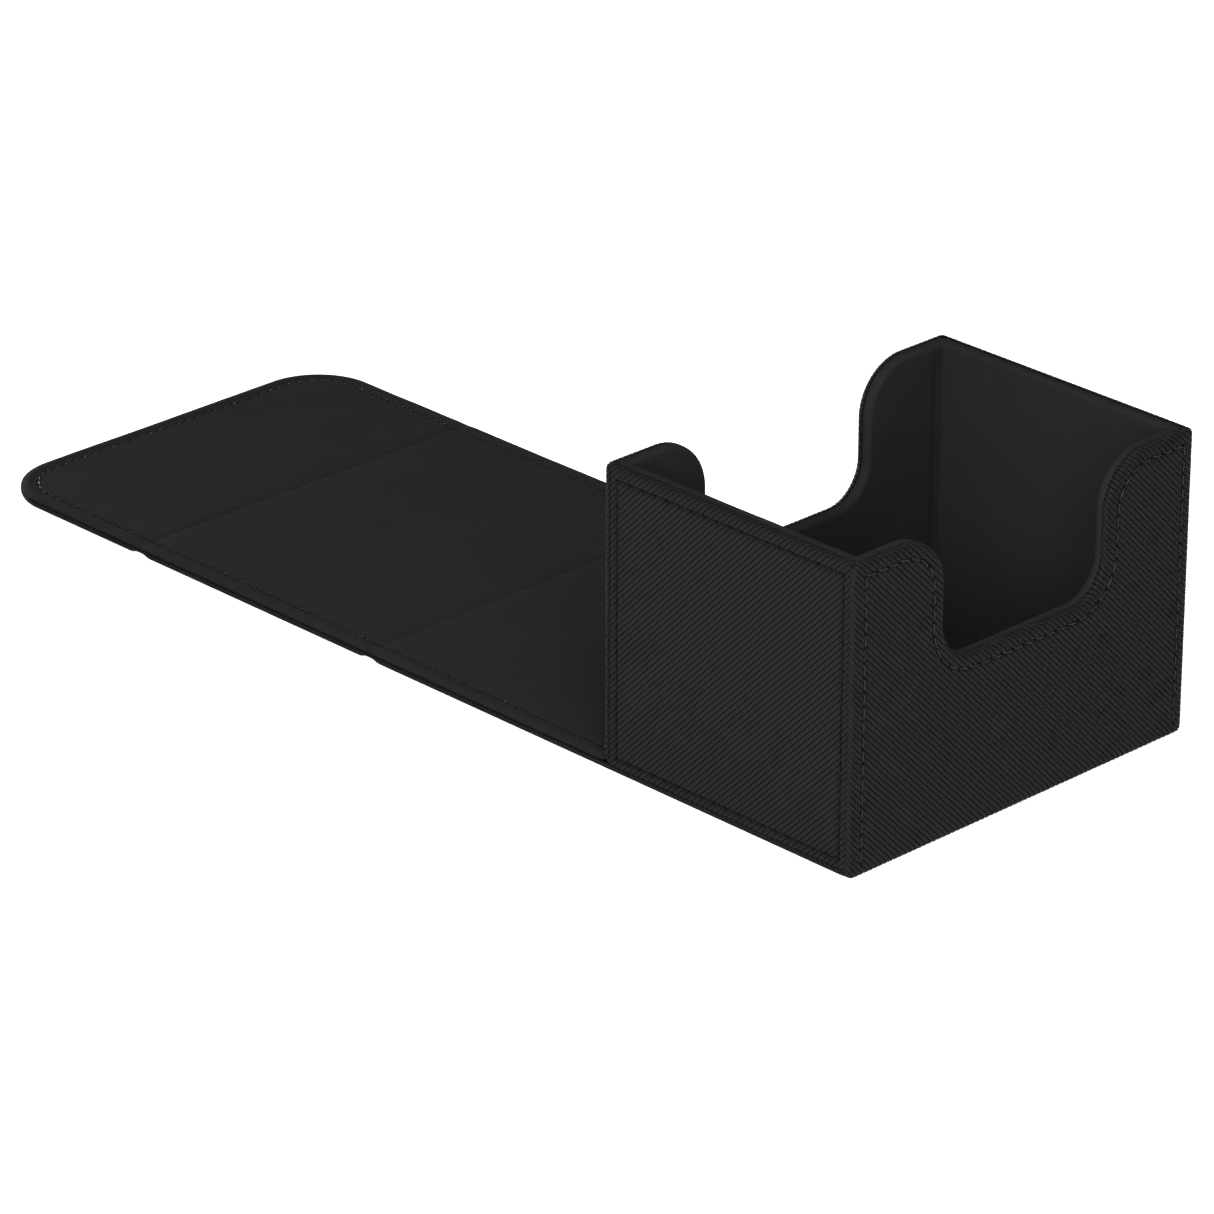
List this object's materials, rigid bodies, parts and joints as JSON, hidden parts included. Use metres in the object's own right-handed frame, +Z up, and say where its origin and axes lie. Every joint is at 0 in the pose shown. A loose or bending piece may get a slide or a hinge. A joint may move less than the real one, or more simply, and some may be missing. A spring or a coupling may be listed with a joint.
{
  "type": "card deck box",
  "caption": "Open-topped box for a sleeved card deck, with finger cut-outs at front and rear and a hinged three-section wrap lid lying open.",
  "frame": {"origin": "centre of the box's underside", "axes": "+X towards the front wall, +Z up, the lid opens flat towards -X, +Y completes the right-handed frame"},
  "size_m": [0.2839, 0.105, 0.0727],
  "materials": {
    "outer_skin": "matte",
    "lining": "matte",
    "thread": "satin",
    "board": "matte",
    "foam": "matte",
    "magnet": "satin"
  },
  "bodies": {
    "box": {"base_skin": "outer_skin", "base_board": "board", "base_pad": "foam", "base_lining": "lining", "front_wall_skin": "outer_skin", "front_wall_board": "board", "front_wall_pad": "foam", "front_wall_lining": "lining", "front_wall_stitching": "thread", "rear_wall_skin": "outer_skin", "rear_wall_board": "board", "rear_wall_pad": "foam", "rear_wall_lining": "lining", "rear_wall_stitching": "thread", "left_wall_skin": "outer_skin", "left_wall_board": "board", "left_wall_pad": "foam", "left_wall_lining": "lining", "left_wall_stitching": "thread", "right_wall_skin": "outer_skin", "right_wall_board": "board", "right_wall_pad": "foam", "right_wall_lining": "lining", "right_wall_stitching": "thread", "front_wall_magnets": "magnet", "side_hinge_web": "outer_skin"},
    "lid_side": {"lid_side_skin": "outer_skin", "lid_side_board": "board", "lid_side_pad": "foam", "lid_side_lining": "lining", "lid_side_stitching": "thread", "top_hinge_web": "outer_skin"},
    "lid_top": {"lid_top_skin": "outer_skin", "lid_top_board": "board", "lid_top_pad": "foam", "lid_top_lining": "lining", "lid_top_stitching": "thread", "flap_hinge_web": "outer_skin"},
    "lid_flap": {"lid_flap_skin": "outer_skin", "lid_flap_board": "board", "lid_flap_pad": "foam", "lid_flap_lining": "lining", "lid_flap_stitching": "thread", "lid_flap_magnets": "magnet"}
  },
  "joints": [
    {"name": "side_hinge", "type": "hinge", "parent": "box", "child": "lid_side", "pos_m": [-0.0397, 0, 0.001], "axis": [0, 1, 0], "range_deg": [0, 90], "deforming": ["side_hinge_web"]},
    {"name": "top_hinge", "type": "hinge", "parent": "lid_side", "child": "lid_top", "pos_m": [-0.1136, 0, 0.001], "axis": [0, 1, 0], "range_deg": [0, 90], "deforming": ["top_hinge_web"]},
    {"name": "flap_hinge", "type": "hinge", "parent": "lid_top", "child": "lid_flap", "pos_m": [-0.193, 0, 0.001], "axis": [0, 1, 0], "range_deg": [0, 90], "deforming": ["flap_hinge_web"]}
  ]
}
